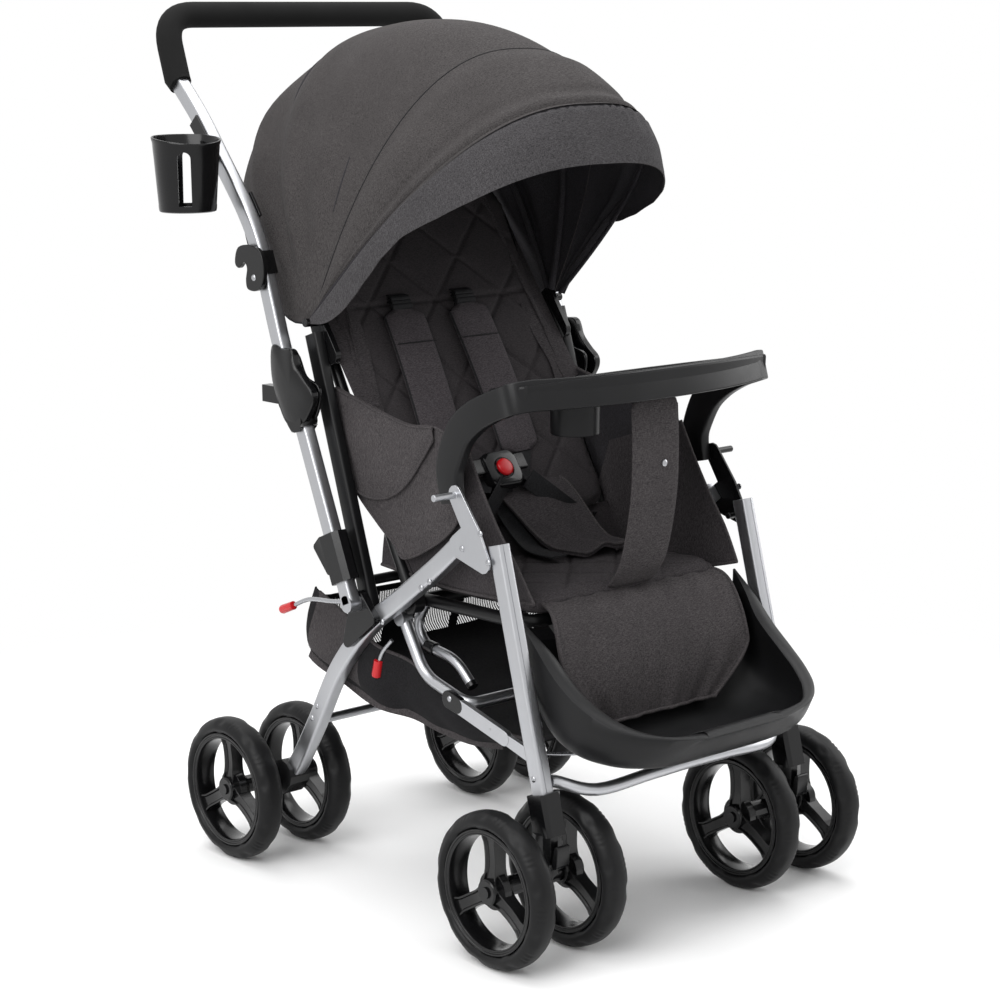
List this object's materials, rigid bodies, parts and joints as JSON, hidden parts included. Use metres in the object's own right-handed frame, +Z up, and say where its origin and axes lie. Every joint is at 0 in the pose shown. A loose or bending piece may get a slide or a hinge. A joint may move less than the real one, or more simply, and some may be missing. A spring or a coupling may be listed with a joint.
{
  "type": "reversible stroller",
  "caption": "Compact folding stroller with swing-over handle, twin swivel wheels, three-part hood, rimmed tray on arms, footrest tub, cup holder and basket",
  "frame": {"origin": "on the floor, in the middle of the bounding box", "axes": "+X to the sitter's left, -Y to the stroller's front, +Z up"},
  "size_m": [0.5784, 0.796, 1.033],
  "materials": {
    "silver_tube": "satin silver tube",
    "black_tube": "black painted tube",
    "black_plastic": "gloss black moulding",
    "satin_plastic": "satin dark grey moulding",
    "red_plastic": "red button",
    "tyre_foam": "moulded foam tyre with dimples and grooves",
    "grip_foam": "soft matt foam sleeve",
    "melange_cloth": "brown-grey melange cloth",
    "lining_cloth": "smooth dark lining cloth"
  },
  "bodies": {
    "chassis": {"rear_cross_tube": "silver_tube", "seat_frame": "black_tube", "upright_frame": "black_tube", "seat_pad": "melange_cloth", "footrest": "satin_plastic", "basket": "lining_cloth", "buckle": "black_plastic", "canopy_rear": "melange_cloth", "rear_leg_left": "silver_tube", "armrest_bracket_left": "silver_tube", "rear_hub_left": "black_plastic", "rear_leg_right": "silver_tube", "armrest_bracket_right": "silver_tube", "rear_hub_right": "black_plastic"},
    "front_legs": {"front_cross_tube": "silver_tube", "front_leg_left": "silver_tube", "caster_housing_left": "black_plastic", "front_leg_right": "silver_tube", "caster_housing_right": "black_plastic"},
    "fold_bar_body": {"fold_bar": "silver_tube"},
    "fold_link_body_left": {"fold_link_left": "silver_tube"},
    "fold_link_body_right": {"fold_link_right": "silver_tube"},
    "front_pod_left": {"front_fork_left": "black_plastic"},
    "swivel_lock_body_left": {"swivel_lock_left": "black_plastic"},
    "front_pod_right": {"front_fork_right": "black_plastic"},
    "swivel_lock_body_right": {"swivel_lock_right": "black_plastic"},
    "brake_pedal_body_left": {"brake_pedal_left": "black_plastic"},
    "brake_pedal_body_right": {"brake_pedal_right": "black_plastic"},
    "wheel_front_inner_left": {"rim_front_inner_left": "black_plastic", "tyre_front_inner_left": "tyre_foam"},
    "wheel_front_outer_left": {"rim_front_outer_left": "black_plastic", "tyre_front_outer_left": "tyre_foam"},
    "wheel_rear_inner_left": {"rim_rear_inner_left": "black_plastic", "tyre_rear_inner_left": "tyre_foam"},
    "wheel_rear_outer_left": {"rim_rear_outer_left": "black_plastic", "tyre_rear_outer_left": "tyre_foam"},
    "wheel_front_inner_right": {"rim_front_inner_right": "black_plastic", "tyre_front_inner_right": "tyre_foam"},
    "wheel_front_outer_right": {"rim_front_outer_right": "black_plastic", "tyre_front_outer_right": "tyre_foam"},
    "wheel_rear_inner_right": {"rim_rear_inner_right": "black_plastic", "tyre_rear_inner_right": "tyre_foam"},
    "wheel_rear_outer_right": {"rim_rear_outer_right": "black_plastic", "tyre_rear_outer_right": "tyre_foam"},
    "handle_lower_body": {"handle_lower_left": "silver_tube", "handle_lower_right": "silver_tube", "knuckle_left": "black_plastic", "knuckle_right": "black_plastic"},
    "handle_upper_body": {"handle_upper": "silver_tube", "foam_grip": "grip_foam", "cup_holder": "black_plastic"},
    "handle_lock_body_left": {"handle_lock_left": "black_plastic"},
    "handle_lock_body_right": {"handle_lock_right": "black_plastic"},
    "backrest": {"backrest_frame": "black_tube", "backrest_pad": "lining_cloth"},
    "hood_front": {"canopy_front": "melange_cloth", "canopy_visor": "melange_cloth"},
    "tray_body": {"tray": "satin_plastic"},
    "fold_lever_body": {"fold_lever": "silver_tube"},
    "buckle_button_body": {"buckle_button": "red_plastic"}
  },
  "joints": [
    {"name": "frame_fold", "type": "hinge", "parent": "chassis", "child": "front_legs", "pos_m": [0.03075, -0.19198, 0.431], "axis": [1, 0, 0], "range_deg": [0, 45], "deforming": ["basket"]},
    {"name": "fold_bar_turn", "type": "hinge", "parent": "chassis", "child": "fold_bar_body", "pos_m": [0.03075, -0.00998, 0.333], "axis": [1, 0, 0], "range_deg": [0, 93.52]},
    {"name": "fold_link_turn_left", "type": "hinge", "parent": "front_legs", "child": "fold_link_body_left", "pos_m": [0.21225, -0.26198, 0.2165], "axis": [1, 0, 0], "range_deg": [-56.03, 0]},
    {"name": "fold_link_turn_right", "type": "hinge", "parent": "front_legs", "child": "fold_link_body_right", "pos_m": [-0.15075, -0.26198, 0.2165], "axis": [1, 0, 0], "range_deg": [-56.03, 0]},
    {"name": "swivel_left", "type": "hinge", "parent": "front_legs", "child": "front_pod_left", "pos_m": [0.22075, -0.28298, 0.131], "axis": [0, 0, 1], "continuous": true},
    {"name": "swivel_lock_turn_left", "type": "hinge", "parent": "front_pod_left", "child": "swivel_lock_body_left", "pos_m": [0.22075, -0.30328, 0.116], "axis": [1, 0, 0], "range_deg": [0, 25]},
    {"name": "swivel_right", "type": "hinge", "parent": "front_legs", "child": "front_pod_right", "pos_m": [-0.15925, -0.28298, 0.131], "axis": [0, 0, 1], "continuous": true},
    {"name": "swivel_lock_turn_right", "type": "hinge", "parent": "front_pod_right", "child": "swivel_lock_body_right", "pos_m": [-0.15925, -0.30328, 0.116], "axis": [1, 0, 0], "range_deg": [0, 25]},
    {"name": "brake_left", "type": "hinge", "parent": "chassis", "child": "brake_pedal_body_left", "pos_m": [0.22075, 0.24671, 0.10382], "axis": [1, 0, 0], "range_deg": [-25, 0]},
    {"name": "brake_right", "type": "hinge", "parent": "chassis", "child": "brake_pedal_body_right", "pos_m": [-0.15925, 0.24671, 0.10382], "axis": [1, 0, 0], "range_deg": [-25, 0]},
    {"name": "wheel_spin_front_inner_left", "type": "hinge", "parent": "front_pod_left", "child": "wheel_front_inner_left", "pos_m": [0.16875, -0.25698, 0.0875], "axis": [1, 0, 0], "continuous": true},
    {"name": "wheel_spin_front_outer_left", "type": "hinge", "parent": "front_pod_left", "child": "wheel_front_outer_left", "pos_m": [0.27275, -0.25698, 0.0875], "axis": [1, 0, 0], "continuous": true},
    {"name": "wheel_spin_rear_inner_left", "type": "hinge", "parent": "chassis", "child": "wheel_rear_inner_left", "pos_m": [0.16875, 0.23302, 0.0875], "axis": [1, 0, 0], "continuous": true},
    {"name": "wheel_spin_rear_outer_left", "type": "hinge", "parent": "chassis", "child": "wheel_rear_outer_left", "pos_m": [0.27275, 0.23302, 0.0875], "axis": [1, 0, 0], "continuous": true},
    {"name": "wheel_spin_front_inner_right", "type": "hinge", "parent": "front_pod_right", "child": "wheel_front_inner_right", "pos_m": [-0.10725, -0.25698, 0.0875], "axis": [1, 0, 0], "continuous": true},
    {"name": "wheel_spin_front_outer_right", "type": "hinge", "parent": "front_pod_right", "child": "wheel_front_outer_right", "pos_m": [-0.21125, -0.25698, 0.0875], "axis": [1, 0, 0], "continuous": true},
    {"name": "wheel_spin_rear_inner_right", "type": "hinge", "parent": "chassis", "child": "wheel_rear_inner_right", "pos_m": [-0.10725, 0.23302, 0.0875], "axis": [1, 0, 0], "continuous": true},
    {"name": "wheel_spin_rear_outer_right", "type": "hinge", "parent": "chassis", "child": "wheel_rear_outer_right", "pos_m": [-0.21125, 0.23302, 0.0875], "axis": [1, 0, 0], "continuous": true},
    {"name": "handle_swing", "type": "hinge", "parent": "chassis", "child": "handle_lower_body", "pos_m": [0.03075, 0.02402, 0.351], "axis": [1, 0, 0], "range_deg": [0, 66]},
    {"name": "handle_fold", "type": "hinge", "parent": "handle_lower_body", "child": "handle_upper_body", "pos_m": [0.03075, 0.12102, 0.58], "axis": [1, 0, 0], "range_deg": [-105, 0]},
    {"name": "handle_lock_slide_left", "type": "slide", "parent": "handle_lower_body", "child": "handle_lock_body_left", "axis": [0, 0.39, 0.9208], "range_m": [0, 0.012]},
    {"name": "handle_lock_slide_right", "type": "slide", "parent": "handle_lower_body", "child": "handle_lock_body_right", "axis": [0, 0.39, 0.9208], "range_m": [0, 0.012]},
    {"name": "backrest_recline", "type": "hinge", "parent": "chassis", "child": "backrest", "pos_m": [0.03075, -0.02698, 0.354], "axis": [1, 0, 0], "range_deg": [-30, 0]},
    {"name": "canopy_fold", "type": "hinge", "parent": "chassis", "child": "hood_front", "pos_m": [0.03075, 0.12302, 0.665], "axis": [1, 0, 0], "range_deg": [-95, 0]},
    {"name": "tray_lift", "type": "slide", "parent": "chassis", "child": "tray_body", "axis": [0, 0, 1], "range_m": [0, 0.06]},
    {"name": "fold_lever_turn", "type": "hinge", "parent": "chassis", "child": "fold_lever_body", "pos_m": [-0.18475, 0.02402, 0.351], "axis": [1, 0, 0], "range_deg": [-20, 0]},
    {"name": "buckle_press", "type": "slide", "parent": "chassis", "child": "buckle_button_body", "axis": [0, 0.809, -0.5878], "range_m": [0, 0.0025], "stiffness_N_per_m": 250}
  ],
  "couplings": [
    {"joint": "fold_bar_turn", "follows": "frame_fold", "ratio": 2.067},
    {"joint": "fold_link_turn_left", "follows": "frame_fold", "ratio": -1.234},
    {"joint": "fold_link_turn_right", "follows": "frame_fold", "ratio": -1.234}
  ]
}
